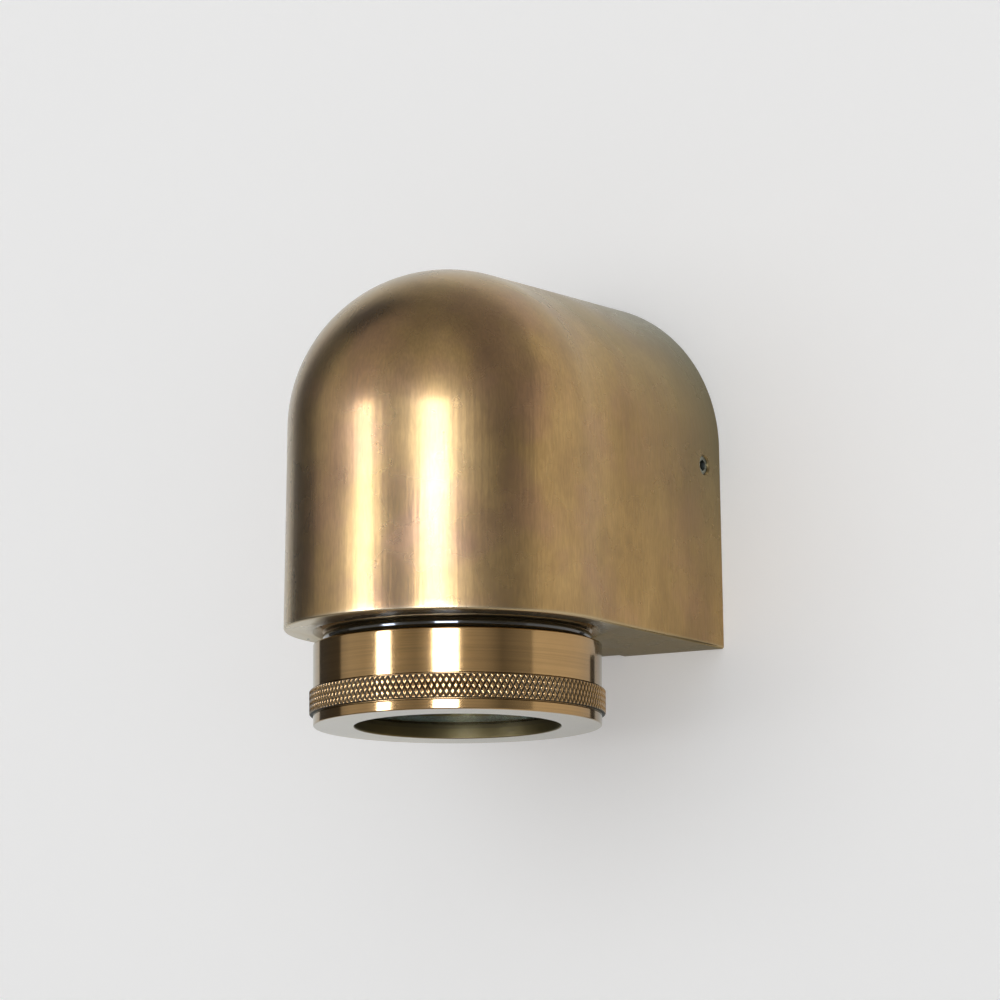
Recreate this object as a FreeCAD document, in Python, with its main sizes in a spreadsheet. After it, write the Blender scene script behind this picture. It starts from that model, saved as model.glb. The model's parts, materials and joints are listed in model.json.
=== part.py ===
"""Wall downlight: a domed brass hood on a wall plate, with a knurled screw-on bezel and a twist-lock lamp.

Millimetres. The origin is on the wall, at the middle of the two wall screws. +Y points into the wall,
+Z is up and +X is to the right for someone facing the wall.
"""
import FreeCAD, Part

import math
import os

import Sketcher

doc = FreeCAD.newDocument("WallDownlight")
sheet = doc.addObject("Spreadsheet::Sheet", "Dims")
bodies = []          # the sub-parts, in the order they are made

DIMENSIONS = [
    # play and overrun
    ("thread_play", 0.02),       # a screw's shank in its own hole, on the radius
    ("free_play", 0.1),          # a shank in a clearance hole, on the radius
    ("overrun", 1.0),            # how far a cutting block runs past a face
    # hood
    ("mount_rise", 40.8),        # hood's lower edge up to the mounting centre
    ("hood_half", 36.5),         # half the hood's width at its lower edge
    ("hood_axis", 59.8),         # wall to the axis of the round front
    ("dome_radius", 35.6),
    ("dome_centre", 44.8),       # hood's lower edge up to the dome's centre
    ("hood_wall", 2.5),
    ("hood_floor", 3.0),
    ("lamp_axis", 56.0),         # wall to the axis of collar, bezel and lamp
    ("mouth_radius", 32.0),      # outer edge of the bevel round the hole in the floor
    ("mouth_hole", 30.1),
    ("mouth_bevel", 1.6),
    ("drain_width", 22.0),       # drain notch in the floor, at the wall
    ("drain_depth", 2.5),
    # grub screws that hold the hood on the wall plate
    ("grub_radius", 2.0),
    ("grub_from_wall", 7.0),
    ("grub_tip", 28.95),         # screw tip, from the middle plane
    ("grub_length", 6.2),
    ("grub_socket", 1.15),       # half the width across the socket's flats
    ("grub_socket_depth", 2.2),
    ("boss_radius", 4.0),
    ("boss_inner", 30.2),
    ("post_hole_depth", 6.5),
    # wall plate
    ("gasket_thick", 1.0),
    ("plate_thick", 1.5),
    ("plate_gap", 1.0),          # between plate and hood, all round
    ("plate_lean", 1.0),         # further gap at the foot, where the hood's sides lean out
    ("tab_outer", 28.9),
    ("tab_height", 12.0),
    ("tab_reach", 9.5),
    ("wall_screw_radius", 2.25),
    ("wall_screw_half", 20.0),
    ("entry_hole", 5.5),
    ("grommet_flange", 8.0),
    ("grommet_bore", 3.5),
    ("grommet_lip", 1.5),
    # bezel, collar and glass, downwards from the hood's lower edge
    ("bezel_top", 2.85),
    ("bezel_bottom", 20.95),
    ("bezel_radius", 32.0),
    ("knurl_radius", 32.8),
    ("knurl_top", 13.15),
    ("knurl_bottom", 18.4),
    ("groove_width", 0.45),
    ("groove_depth", 0.35),
    ("edge_break", 0.35),
    ("opening_radius", 22.85),
    ("lip_thick", 3.2),          # bezel's lower lip, under the glass
    ("thread_radius", 27.0),
    ("running_gap", 0.05),
    ("glass_radius", 26.9),
    ("glass_thick", 4.0),
    ("glass_seal", 1.15),
    ("seal_inset", 0.3),         # lens gasket's bore, inside the collar's bore
    ("collar_bore", 25.6),
    ("collar_low", 12.5),        # collar's lower end, below the hood's lower edge
    ("collar_shoulder", 29.9),
    ("flange_radius", 33.0),
    ("flange_thick", 2.0),
    ("flange_seal", 0.5),
    ("ear_radius", 3.1),
    ("ear_circle", 34.3),        # circle of the collar's three screws
    ("ear_turn", 53.0),          # rear ears' angle from the X axis
    ("ear_screw", 1.25),         # M2.5 shank
    ("ear_screw_length", 4.6),
    ("ear_screw_head", 2.2),
    ("ear_screw_head_height", 1.5),
    ("ear_hole_skin", 0.8),      # brass left under the blind holes in the floor
    ("ring_middle", 28.45),      # O-ring's centre circle
    ("ring_section", 1.4),
    # lamp, holder and bracket, upwards from the hood's lower edge
    ("lamp_face", -10.5),
    ("lamp_radius", 25.0),
    ("lamp_height", 48.0),
    ("lamp_lens_thick", 1.25),
    ("lamp_rim_thick", 1.4),
    ("pin_circle", 5.0),
    ("pin_neck", 1.5),
    ("pin_head", 2.5),
    ("pin_neck_length", 4.8),
    ("pin_head_length", 2.2),
    ("lock_angle", 22.0),        # twist from locked to the insertion holes
    ("holder_base", 37.8),
    ("holder_radius", 13.0),
    ("holder_height", 17.2),
    ("holder_flat", 11.0),       # flat on the holder's back, from its axis
    ("ledge_thick", 4.0),
    ("chamber_height", 4.7),
    ("neck_slot", 1.8),
    ("head_slot", 2.9),
    ("key_hole", 2.8),
    ("contact_side", 4.0),
    ("contact_thick", 1.5),
    ("bracket_half", 27.0),
    ("bracket_width", 16.0),
    ("bracket_thick", 1.5),
    ("post_side", 22.0),
    ("post_radius", 3.5),
    ("holder_screw_side", 7.0),
    ("small_screw", 1.5),        # M3 shank
    ("small_head", 2.75),
    ("small_head_height", 1.8),
    ("bracket_screw_length", 7.5),
    ("holder_screw_length", 6.0),
    ("holder_hole_depth", 5.0),
    # terminal block and earth point, upwards from the hood's lower edge
    ("block_half", 15.0),
    ("block_depth", 13.0),
    ("block_base", 58.0),
    ("block_height", 14.0),
    ("pole_pitch", 10.0),
    ("pole_from_plate", 6.5),
    ("insert_radius", 2.2),
    ("insert_bore", 1.35),
    ("clamp_screw", 1.25),
    ("clamp_tap", 4.0),          # depth of the clamp screw's thread, from the insert's axis
    ("clamp_sunk", 1.0),         # clamp screw's head below the block's face
    ("clamp_tip", 1.2),          # its tip, in front of the insert's axis
    ("clamp_level", 0.22),       # lower clamp screws, as a share of the block's height
    ("well_step", 0.2),          # screw wells' radius, less than the insert's
    ("block_screw_sunk", 4.0),
    ("lead_radius", 1.1),
    ("lead_end", 2.5),           # how far a lead reaches up into its insert
    ("lead_drop", 12.5),         # first bend of the holder's leads, below the block
    ("lead_low", 8.0),           # their lower ends, below the block
    ("lead_spread", 1.5),
    ("lead_run", 8.0),           # straight run into the holder's back
    ("earth_drop", 8.0),         # the earth lead's three bends, below the block
    ("earth_cross", 17.0),
    ("earth_turn", 26.0),
    ("earth_slack", 0.5),
    ("earth_side", -11.0),
    ("earth_height", 17.0),
    ("tag_radius", 4.0),
    ("tag_thick", 0.8),
    ("tag_neck_half", 1.5),
    ("barrel_radius", 1.6),
    ("barrel_base", 5.5),        # above the ring's centre
    ("barrel_length", 5.0),
    ("barrel_axis", 1.8),        # in front of the plate
    ("barrel_solid", 1.5),       # closed lower end of the barrel
    ("earth_lead_end", 8.0),     # lead's end in the barrel, above the ring's centre
    ("earth_head", 3.5),
    ("earth_head_height", 2.2),
]
for row, (alias, value) in enumerate(DIMENSIONS, start=1):
    sheet.set("A%d" % row, alias)
    sheet.set("B%d" % row, str(value))
    sheet.setAlias("B%d" % row, alias)
doc.recompute()

# the lamp's bowl and its reflector: inset from the rim, and height above the face
BOWL = [(0, 4.5), (0.8, 5.5), (3.5, 14), (7.5, 22.5), (11.5, 29), (13.5, 32)]
BOWL_NECK = 14
REFLECTOR = [(25, 20), (19, 20), (11, 12), (5, 5)]
REFLECTOR_MOUTH = 2.6
BEND_SHARE = 0.45                                # of a lead's shorter run, taken up by each bend

FLOOR = "-Dims.mount_rise"                       # hood's lower edge
LAMP_Y = "-Dims.lamp_axis"
PLATE_FRONT = "-(Dims.gasket_thick + Dims.plate_thick)"
TURNS = {
    "Z": FreeCAD.Rotation(),
    "X": FreeCAD.Rotation(FreeCAD.Vector(0, 1, 0), 90),
    "-X": FreeCAD.Rotation(FreeCAD.Vector(0, 1, 0), -90),
    "Y": FreeCAD.Rotation(FreeCAD.Vector(1, 0, 0), -90),
    "-Z": FreeCAD.Rotation(FreeCAD.Vector(1, 0, 0), 180),
}


def measure(expression):
    """The number that an expression on the sheet gives now."""
    return float(sheet.evalExpression(expression))


def through(length):
    """Length of a cutting block that runs past both faces."""
    return length + " + 2 * Dims.overrun"


def before(start):
    """Start of a cutting block, short of the face it enters."""
    return start + " - Dims.overrun"


def up(expression):
    """Height above the hood's lower edge, as a height in the part's own frame."""
    return "%s + (%s)" % (FLOOR, expression)


def place(part, x, y, z, turn="Z"):
    """Turn a piece and bind its place to the sheet."""
    part.Placement = FreeCAD.Placement(FreeCAD.Vector(), TURNS[turn])
    for axis, expression in zip("xyz", (x, y, z)):
        part.setExpression("Placement.Base." + axis, expression)
    return part


def cylinder(name, radius, length, x="0", y="0", z="0", turn="Z"):
    part = doc.addObject("Part::Cylinder", name)
    part.setExpression("Radius", radius)
    part.setExpression("Height", length)
    return place(part, x, y, z, turn)


def box(name, size, x, y, z):
    """A box from its low corner."""
    part = doc.addObject("Part::Box", name)
    for side, expression in zip(("Length", "Width", "Height"), size):
        part.setExpression(side, expression)
    return place(part, x, y, z)


def cone(name, low_radius, high_radius, length, x, y, z):
    part = doc.addObject("Part::Cone", name)
    part.setExpression("Radius1", low_radius)
    part.setExpression("Radius2", high_radius)
    part.setExpression("Height", length)
    return place(part, x, y, z)


def fuse(name, shapes):
    part = doc.addObject("Part::MultiFuse", name)
    part.Shapes = shapes
    return part


def cut(name, base, tools):
    part = doc.addObject("Part::Cut", name)
    part.Base = base
    part.Tool = tools[0] if len(tools) == 1 else fuse(name + "_tools", tools)
    return part


def common(name, first, second):
    part = doc.addObject("Part::Common", name)
    part.Base = first
    part.Tool = second
    return part


def group(name, shapes):
    part = doc.addObject("Part::Compound", name)
    part.Links = shapes
    return part


def sub_part(part, label):
    """Name a finished piece."""
    part.Label = label
    bodies.append(part)
    return part


def new_sketch(body, plane, name):
    sketch = body.newObject("Sketcher::SketchObject", name)
    origin_plane = [f for f in body.Origin.OriginFeatures if f.Role == plane][0]
    sketch.AttachmentSupport = [(origin_plane, "")]
    sketch.MapMode = "FlatFace"
    return sketch


def bind(sketch, kind, first, second, expression):
    """A sketch distance between two points, bound to the sheet."""
    index = sketch.addConstraint(Sketcher.Constraint(kind, *first, *second, measure(expression)))
    sketch.setExpression("Constraints[%d]" % index, expression)


def outline(sketch, points):
    """A closed outline of straight lines, its corners bound to the sheet as (across, up), never negative."""
    values = [FreeCAD.Vector(measure(a), measure(b), 0) for a, b in points]
    count = len(values)
    for i in range(count):
        sketch.addGeometry(Part.LineSegment(values[i], values[(i + 1) % count]), False)
    for i in range(count):
        sketch.addConstraint(Sketcher.Constraint("Coincident", i, 2, (i + 1) % count, 1))
    origin = (-1, 1)
    for i, (across, height) in enumerate(points):
        if across == "0":
            sketch.addConstraint(Sketcher.Constraint("PointOnObject", i, 1, -2))
        else:
            bind(sketch, "DistanceX", origin, (i, 1), across)
        if height == "0":
            sketch.addConstraint(Sketcher.Constraint("PointOnObject", i, 1, -1))
        else:
            bind(sketch, "DistanceY", origin, (i, 1), height)


def turned(name, base, points):
    """A piece turned about the lamp's axis. Heights are measured up from the piece's own base."""
    body = doc.addObject("PartDesign::Body", name)
    sketch = new_sketch(body, "XZ_Plane", name + "_profile")
    outline(sketch, points)
    revolution = body.newObject("PartDesign::Revolution", name + "_turning")
    revolution.Profile = sketch
    revolution.ReferenceAxis = (sketch, ["V_Axis"])
    revolution.Angle = 360
    return place(body, "0", LAMP_Y, base)


def arch_sketch(sketch, half, radius, centre, whole):
    """Half or all of the hood's arch: a drafted side that runs tangent into a round top."""
    r, c, w = measure(radius), measure(centre), measure(half)
    lean = math.acos(r / math.hypot(w, c)) - math.atan2(c, w)
    touch = FreeCAD.Vector(r * math.cos(lean), c + r * math.sin(lean), 0)
    middle = FreeCAD.Vector(0, c, 0)
    corner, foot, apex = FreeCAD.Vector(w, 0, 0), FreeCAD.Vector(0, 0, 0), FreeCAD.Vector(0, c + r, 0)
    circle = Part.Circle(middle, FreeCAD.Vector(0, 0, 1), r)
    sketch.addGeometry(Part.LineSegment(corner, touch), False)
    end = math.pi - lean if whole else math.pi / 2
    sketch.addGeometry(Part.ArcOfCircle(circle, lean, end), False)
    if whole:
        far_touch, far_corner = FreeCAD.Vector(-touch.x, touch.y, 0), FreeCAD.Vector(-w, 0, 0)
        sketch.addGeometry(Part.LineSegment(far_touch, far_corner), False)
        sketch.addGeometry(Part.LineSegment(far_corner, corner), False)
        sketch.addConstraint(Sketcher.Constraint("Tangent", 1, 2, 2, 1))
        sketch.addConstraint(Sketcher.Constraint("Symmetric", 0, 1, 2, 2, -2))
    else:
        sketch.addGeometry(Part.LineSegment(apex, foot), False)
        sketch.addGeometry(Part.LineSegment(foot, corner), False)
        sketch.addConstraint(Sketcher.Constraint("Coincident", 1, 2, 2, 1))
        sketch.addConstraint(Sketcher.Constraint("PointOnObject", 1, 2, -2))
        sketch.addConstraint(Sketcher.Constraint("Coincident", 2, 2, -1, 1))
    sketch.addConstraint(Sketcher.Constraint("Coincident", 2, 2, 3, 1))
    sketch.addConstraint(Sketcher.Constraint("Coincident", 3, 2, 0, 1))
    sketch.addConstraint(Sketcher.Constraint("Tangent", 0, 2, 1, 1))
    sketch.addConstraint(Sketcher.Constraint("PointOnObject", 1, 3, -2))
    sketch.addConstraint(Sketcher.Constraint("PointOnObject", 0, 1, -1))
    bind(sketch, "DistanceX", (-1, 1), (0, 1), half)
    bind(sketch, "DistanceY", (-1, 1), (1, 3), centre)
    index = sketch.addConstraint(Sketcher.Constraint("Radius", 1, r))
    sketch.setExpression("Constraints[%d]" % index, radius)


def arch(name, half, radius, centre, y, depth, rounded):
    """An arch-shaped block that starts at y and runs depth towards the wall, with a round front if rounded."""
    body = doc.addObject("PartDesign::Body", name)
    face = new_sketch(body, "XZ_Plane", name + "_arch")
    arch_sketch(face, half, radius, centre, True)
    pad = body.newObject("PartDesign::Pad", name + "_depth")
    pad.Profile = face
    pad.setExpression("Length", depth)
    pad.Reversed = True
    if rounded:
        side = new_sketch(body, "XZ_Plane", name + "_side")
        arch_sketch(side, half, radius, centre, False)
        front = body.newObject("PartDesign::Revolution", name + "_front")
        front.Profile = side
        front.ReferenceAxis = (side, ["V_Axis"])
        front.Angle = 180
        front.Reversed = True
    return place(body, "0", y, FLOOR)


def screw(name, shank, shank_length, head, head_height, x, y, z, turn):
    """A pan-head screw. Its head starts at the given place and its shank runs on along turn."""
    opposite = {"Z": "-Z", "-Z": "Z", "Y": "Y"}[turn]
    body = cylinder(name + "_shank", shank, shank_length, x, y, z, turn)
    if turn == "Y":
        cap = cylinder(name + "_head", head, head_height, x, "%s - (%s)" % (y, head_height), z, "Y")
    else:
        cap = cylinder(name + "_head", head, head_height, x, y, z, opposite)
    return fuse(name, [body, cap])


def ears():
    """Places of the collar's three ears, in plan."""
    side = "Dims.ear_circle * cos(Dims.ear_turn * 1 deg)"
    back = "%s + Dims.ear_circle * sin(Dims.ear_turn * 1 deg)" % LAMP_Y
    front = "%s - Dims.ear_circle" % LAMP_Y
    return [("0", front), (side, back), ("-" + side, back)]


def pipe(route, radius):
    """A round tube along straight runs joined by tangent arcs."""
    points = [FreeCAD.Vector(*p) for p in route]
    edges, start = [], points[0]
    for behind, corner, ahead in zip(points, points[1:], points[2:]):
        inward, outward = (corner - behind), (ahead - corner)
        half_turn = inward.getAngle(outward) / 2
        setback = BEND_SHARE * min(inward.Length, outward.Length)
        bend = setback / math.tan(half_turn)
        first = corner - inward.normalize() * setback
        last = corner + outward.normalize() * setback
        inner = (first + last) * 0.5 - corner
        centre_gap = bend / math.cos(half_turn)
        middle = corner + inner.normalize() * (centre_gap - bend)
        edges.append(Part.LineSegment(start, first).toShape())
        edges.append(Part.Arc(first, middle, last).toShape())
        start = last
    edges.append(Part.LineSegment(start, points[-1]).toShape())
    path = Part.Wire(edges)
    ring = Part.Wire(Part.Circle(points[0], points[1] - points[0], radius).toShape())
    tube = path.makePipeShell([ring], True, False)
    if abs(tube.Volume / (path.Length * math.pi * radius ** 2) - 1) > 0.01:
        raise RuntimeError("a lead's tube is pinched")
    return tube


# ---------------------------------------------------------------------------------------------- hood
def make_housing():
    """Hollow hood, open at the wall, with a flat floor that the lamp collar passes through."""
    outer = arch("hood_outside", "Dims.hood_half", "Dims.dome_radius", "Dims.dome_centre",
                 "-Dims.hood_axis", "Dims.hood_axis", True)
    inner = arch("hood_inside", "Dims.hood_half - Dims.hood_wall", "Dims.dome_radius - Dims.hood_wall",
                 "Dims.dome_centre", "-Dims.hood_axis", "Dims.hood_axis + Dims.overrun", True)
    below = box("hood_floor_block",
                ("2 * Dims.hood_half", "Dims.hood_axis + Dims.hood_half + 2 * Dims.overrun", "Dims.hood_floor"),
                "-Dims.hood_half", "-Dims.hood_axis - Dims.hood_half", FLOOR)
    cavity = cut("hood_cavity", inner, [below])
    shell = cut("hood_shell", outer, [cavity])
    bosses = []
    for side, turn in (("right", "X"), ("left", "-X")):
        sign = "" if side == "right" else "-"
        bosses.append(cylinder("grub_boss_" + side, "Dims.boss_radius", "Dims.hood_half - Dims.boss_inner",
                               sign + "Dims.boss_inner", "-Dims.grub_from_wall", "0", turn))
        bosses.append(cylinder("post_" + side, "Dims.post_radius", "Dims.dome_radius", sign + "Dims.post_side",
                               LAMP_Y, up("Dims.holder_base + Dims.holder_height + Dims.bracket_thick")))
    inside = common("hood_bosses", fuse("hood_boss_blanks", bosses), outer)
    body = fuse("hood_body", [shell, inside])
    holes = [
        cylinder("mouth_bore", "Dims.mouth_hole", through("Dims.hood_floor"), "0", LAMP_Y, before(FLOOR)),
        cone("mouth_bevel_cut", "Dims.mouth_radius", "Dims.mouth_hole", "Dims.mouth_bevel", "0", LAMP_Y, FLOOR),
        box("drain_notch", ("Dims.drain_width", "Dims.drain_depth + Dims.overrun", through("Dims.hood_floor")),
            "-Dims.drain_width / 2", "-Dims.drain_depth", before(FLOOR)),
    ]
    for side, turn in (("right", "X"), ("left", "-X")):
        sign = "" if side == "right" else "-"
        holes.append(cylinder("grub_hole_" + side, "Dims.grub_radius + Dims.thread_play",
                              through("Dims.hood_half - Dims.boss_inner"),
                              sign + "(Dims.boss_inner - Dims.overrun)", "-Dims.grub_from_wall", "0", turn))
        holes.append(cylinder("post_hole_" + side, "Dims.small_screw + Dims.thread_play",
                              "Dims.post_hole_depth + Dims.overrun", sign + "Dims.post_side", LAMP_Y,
                              before(up("Dims.holder_base + Dims.holder_height + Dims.bracket_thick"))))
    for number, (x, y) in enumerate(ears()):
        holes.append(cylinder("ear_hole_%d" % number, "Dims.ear_screw + Dims.thread_play", "Dims.hood_floor",
                              x, y, up("Dims.ear_hole_skin")))
    return sub_part(cut("housing", body, holes), "housing")


def make_grub_screw(side, turn):
    """Hexagon-socket grub screw, flat point, just below the hood's surface."""
    sign = "" if side == "right" else "-"
    name = "set_screw_" + side
    rod = cylinder(name + "_rod", "Dims.grub_radius", "Dims.grub_length", sign + "Dims.grub_tip",
                   "-Dims.grub_from_wall", "0", turn)
    socket = doc.addObject("Part::Prism", name + "_socket")
    socket.Polygon = 6
    socket.setExpression("Circumradius", "Dims.grub_socket / cos(30)")
    socket.setExpression("Height", "Dims.grub_socket_depth + Dims.overrun")
    place(socket, sign + "(Dims.grub_tip + Dims.grub_length - Dims.grub_socket_depth)", "-Dims.grub_from_wall",
          "0", turn)
    return sub_part(cut(name, rod, [socket]), name)


# ---------------------------------------------------------------------------------------- wall plate
def wall_sheet(name, y, thick, extra=None):
    """An arch-shaped sheet inside the hood's back, with the wall screws' holes and the cable hole."""
    inset = "(Dims.hood_wall + Dims.plate_gap)"
    blank = arch(name + "_blank", "Dims.hood_half - %s - Dims.plate_lean" % inset,
                 "Dims.dome_radius - %s" % inset, "Dims.dome_centre", y, thick, False)
    skirt = box(name + "_skirt", ("2 * Dims.hood_half", "Dims.hood_half", "Dims.hood_floor + Dims.plate_gap"),
                "-Dims.hood_half", "-Dims.hood_half / 2", FLOOR)
    tools = [skirt]
    for side in ("right", "left"):
        sign = "" if side == "right" else "-"
        tools.append(cylinder(name + "_screw_hole_" + side, "Dims.wall_screw_radius", through(thick),
                              sign + "Dims.wall_screw_half", before(y), "0", "Y"))
    tools.append(cylinder(name + "_entry", "Dims.entry_hole", through(thick), "0", before(y), "0", "Y"))
    base = blank if extra is None else fuse(name + "_formed", [blank] + extra)
    if extra is not None:
        tools.append(cylinder(name + "_earth_hole", "Dims.grub_radius + Dims.thread_play", through(thick),
                              "Dims.earth_side", before(y), up("Dims.earth_height"), "Y"))
        tools.append(cylinder(name + "_block_hole", "Dims.small_screw + Dims.thread_play", through(thick),
                              "Dims.pole_pitch / 2", before(y),
                              up("Dims.block_base + Dims.block_height / 2"), "Y"))
    return cut(name, base, tools)


def make_wall_plate():
    """Steel plate with a bent tab on each side for the grub screws to bear on."""
    tabs = []
    for side in ("right", "left"):
        x = "Dims.tab_outer - Dims.plate_thick" if side == "right" else "-Dims.tab_outer"
        size = ("Dims.plate_thick", "Dims.tab_reach + Dims.plate_thick", "Dims.tab_height")
        tabs.append(box("tab_" + side, size, x, PLATE_FRONT + " - Dims.tab_reach", "-Dims.tab_height / 2"))
    sub_part(wall_sheet("wall_plate", PLATE_FRONT, "Dims.plate_thick", tabs), "wall_plate")
    gasket = wall_sheet("gasket_sheet", "-Dims.gasket_thick", "Dims.gasket_thick")
    relief = cylinder("earth_relief", "Dims.tag_radius", through("Dims.gasket_thick"), "Dims.earth_side",
                      before("-Dims.gasket_thick"), up("Dims.earth_height"), "Y")
    block_relief = cylinder("block_relief", "Dims.small_head", through("Dims.gasket_thick"),
                            "Dims.pole_pitch / 2", before("-Dims.gasket_thick"),
                            up("Dims.block_base + Dims.block_height / 2"), "Y")
    sub_part(cut("wall_gasket", gasket, [relief, block_relief]), "wall_gasket")


def make_grommet():
    """Rubber grommet: a neck through plate and gasket, a flange in front and a bore for the cable."""
    flange = cylinder("grommet_front", "Dims.grommet_flange", "Dims.grommet_lip", "0",
                      PLATE_FRONT + " - Dims.grommet_lip", "0", "Y")
    neck = cylinder("grommet_neck", "Dims.entry_hole - Dims.thread_play",
                    "Dims.plate_thick + Dims.gasket_thick", "0", PLATE_FRONT, "0", "Y")
    bore = cylinder("grommet_hole", "Dims.grommet_bore",
                    through("Dims.grommet_lip + Dims.plate_thick + Dims.gasket_thick"), "0",
                    before(PLATE_FRONT + " - Dims.grommet_lip"), "0", "Y")
    sub_part(cut("cable_grommet", fuse("grommet_blank", [flange, neck]), [bore]), "cable_grommet")


# ------------------------------------------------------------------------------- collar, bezel, glass
def make_collar():
    """Threaded sleeve with a shoulder that fills the floor's hole and a flange with three ears above it."""
    shoulder = "Dims.collar_low + Dims.free_play"
    seat = "Dims.collar_low + Dims.hood_floor + Dims.flange_seal"
    top = seat + " + Dims.flange_thick"
    sleeve = turned("collar_turned", up("-Dims.collar_low"), [
        ("Dims.collar_bore", "0"), ("Dims.thread_radius", "0"), ("Dims.thread_radius", shoulder),
        ("Dims.collar_shoulder", shoulder), ("Dims.collar_shoulder", seat), ("Dims.flange_radius", seat),
        ("Dims.flange_radius", top), ("Dims.collar_bore", top)])
    flange_z = up("Dims.hood_floor + Dims.flange_seal")
    tabs = [cylinder("collar_ear_%d" % n, "Dims.ear_radius", "Dims.flange_thick", x, y, flange_z)
            for n, (x, y) in enumerate(ears())]
    holes = [cylinder("collar_hole_%d" % n, "Dims.ear_screw + Dims.free_play", through("Dims.flange_thick"),
                      x, y, before(flange_z))
             for n, (x, y) in enumerate(ears())]
    sub_part(cut("lamp_collar", fuse("collar_blank", [sleeve] + tabs), holes), "lamp_collar")


def make_collar_gasket():
    """Flat seal between the collar's flange and the hood's floor, and the three screws through both."""
    z = up("Dims.hood_floor")
    disc = cylinder("gasket_disc", "Dims.flange_radius", "Dims.flange_seal", "0", LAMP_Y, z)
    pads = [cylinder("gasket_ear_%d" % n, "Dims.ear_radius", "Dims.flange_seal", x, y, z)
            for n, (x, y) in enumerate(ears())]
    holes = [cylinder("gasket_hole_%d" % n, "Dims.ear_screw + Dims.free_play", through("Dims.flange_seal"),
                      x, y, before(z))
             for n, (x, y) in enumerate(ears())]
    middle = cylinder("gasket_middle", "Dims.mouth_hole", through("Dims.flange_seal"), "0", LAMP_Y, before(z))
    sub_part(cut("collar_gasket", fuse("gasket_blank", [disc] + pads), holes + [middle]), "collar_gasket")
    top = up("Dims.hood_floor + Dims.flange_seal + Dims.flange_thick")
    screws = [screw("collar_screw_%d" % n, "Dims.ear_screw", "Dims.ear_screw_length", "Dims.ear_screw_head",
                    "Dims.ear_screw_head_height", x, y, top, "-Z")
              for n, (x, y) in enumerate(ears())]
    sub_part(group("collar_screws", screws), "collar_screws")


def make_o_ring():
    """Seal between the collar's shoulder and the bezel's upper face."""
    ring = doc.addObject("Part::Torus", "o_ring")
    ring.setExpression("Radius1", "Dims.ring_middle")
    ring.setExpression("Radius2", "Dims.ring_section")
    place(ring, "0", LAMP_Y, up("-Dims.bezel_top + Dims.running_gap + Dims.ring_section"))
    sub_part(ring, "o_ring")


def make_bezel():
    """Ring with a raised grip band between two grooves, a threaded bore and an inner lip under the glass."""
    def level(depth):
        """Height above the bezel's lower face of a level given down from the hood's edge."""
        return "Dims.bezel_bottom - (%s)" % depth
    rim = "Dims.bezel_radius"
    grip = "Dims.knurl_radius"
    neck = "Dims.bezel_radius - Dims.groove_depth"
    edge = "Dims.edge_break"
    bore = "Dims.thread_radius + Dims.running_gap"
    points = [
        ("Dims.opening_radius + " + edge, "0"), (rim + " - " + edge, "0"), (rim, edge),
        (rim, level("Dims.knurl_bottom + Dims.groove_width")),
        (neck, level("Dims.knurl_bottom + Dims.groove_width")),
        (neck, level("Dims.knurl_bottom")), (grip + " - " + edge, level("Dims.knurl_bottom")),
        (grip, level("Dims.knurl_bottom - " + edge)), (grip, level("Dims.knurl_top + " + edge)),
        (grip + " - " + edge, level("Dims.knurl_top")), (neck, level("Dims.knurl_top")),
        (neck, level("Dims.knurl_top - Dims.groove_width")), (rim, level("Dims.knurl_top - Dims.groove_width")),
        (rim, level("Dims.bezel_top + " + edge)), (rim + " - " + edge, level("Dims.bezel_top")),
        (bore, level("Dims.bezel_top")), (bore, "Dims.lip_thick"), ("Dims.opening_radius", "Dims.lip_thick"),
        ("Dims.opening_radius", edge)]
    sub_part(turned("bezel", up("-Dims.bezel_bottom"), points), "bezel")


def make_glass():
    """Glass on the bezel's lip, and the gasket between it and the collar's lower end."""
    lowest = "-Dims.bezel_bottom + Dims.lip_thick + Dims.running_gap"
    edge = "Dims.edge_break"
    bore = "Dims.collar_bore - Dims.seal_inset"
    sub_part(turned("lens_glass", up(lowest), [
        ("0", "0"), ("Dims.glass_radius - " + edge, "0"), ("Dims.glass_radius", edge),
        ("Dims.glass_radius", "Dims.glass_thick - " + edge),
        ("Dims.glass_radius - " + edge, "Dims.glass_thick"),
        ("0", "Dims.glass_thick")]), "lens_glass")
    sub_part(turned("lens_gasket", up(lowest + " + Dims.glass_thick"), [
        (bore, "0"), ("Dims.glass_radius - " + edge, "0"),
        ("Dims.glass_radius - " + edge, "Dims.glass_seal"), (bore, "Dims.glass_seal")]), "lens_gasket")


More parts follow.
